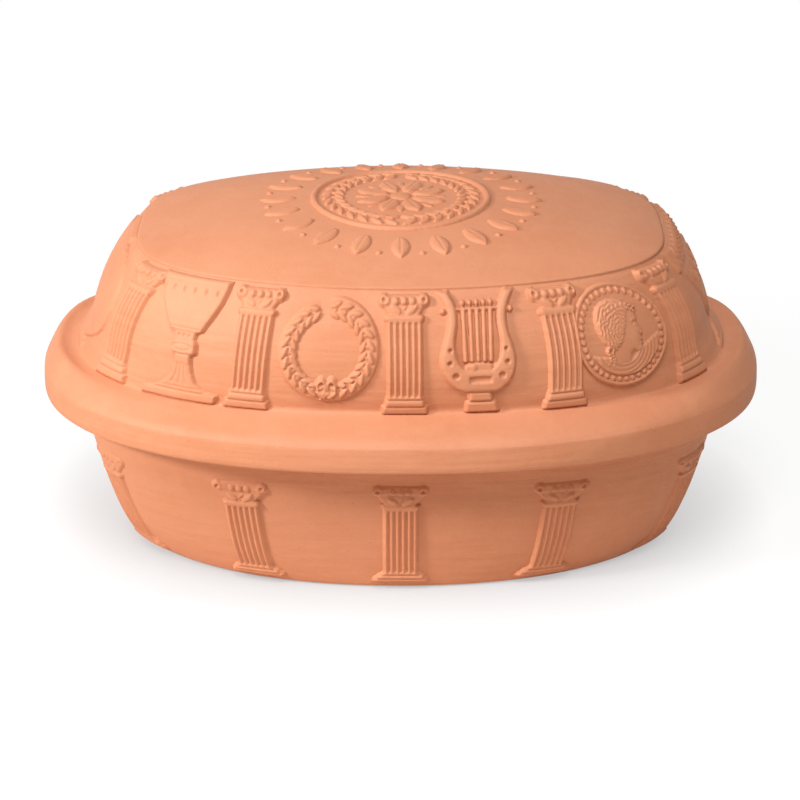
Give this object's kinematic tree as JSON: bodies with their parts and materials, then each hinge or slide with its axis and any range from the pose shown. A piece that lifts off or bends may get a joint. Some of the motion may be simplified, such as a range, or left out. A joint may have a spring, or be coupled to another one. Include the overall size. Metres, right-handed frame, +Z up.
{
  "type": "oval clay roaster",
  "caption": "Oval terracotta roaster with a deep dish and a domed lid that caps its flange, both moulded with columns and classical figures in relief.",
  "frame": {"origin": "middle of the dish's flat underside", "axes": "+X along the roaster's length, +Y across it to the back, away from the picture's camera, +Z up towards the lid"},
  "size_m": [0.355, 0.2456, 0.1695],
  "materials": {
    "lid_clay": "matte",
    "dish_clay": "matte"
  },
  "bodies": {
    "base": {"base": "dish_clay"},
    "lid": {"lid": "lid_clay"}
  },
  "joints": [
    {"name": "lid_lift", "type": "slide", "parent": "base", "child": "lid", "axis": [0, 0, 1], "range_m": [0, 0.15]}
  ]
}
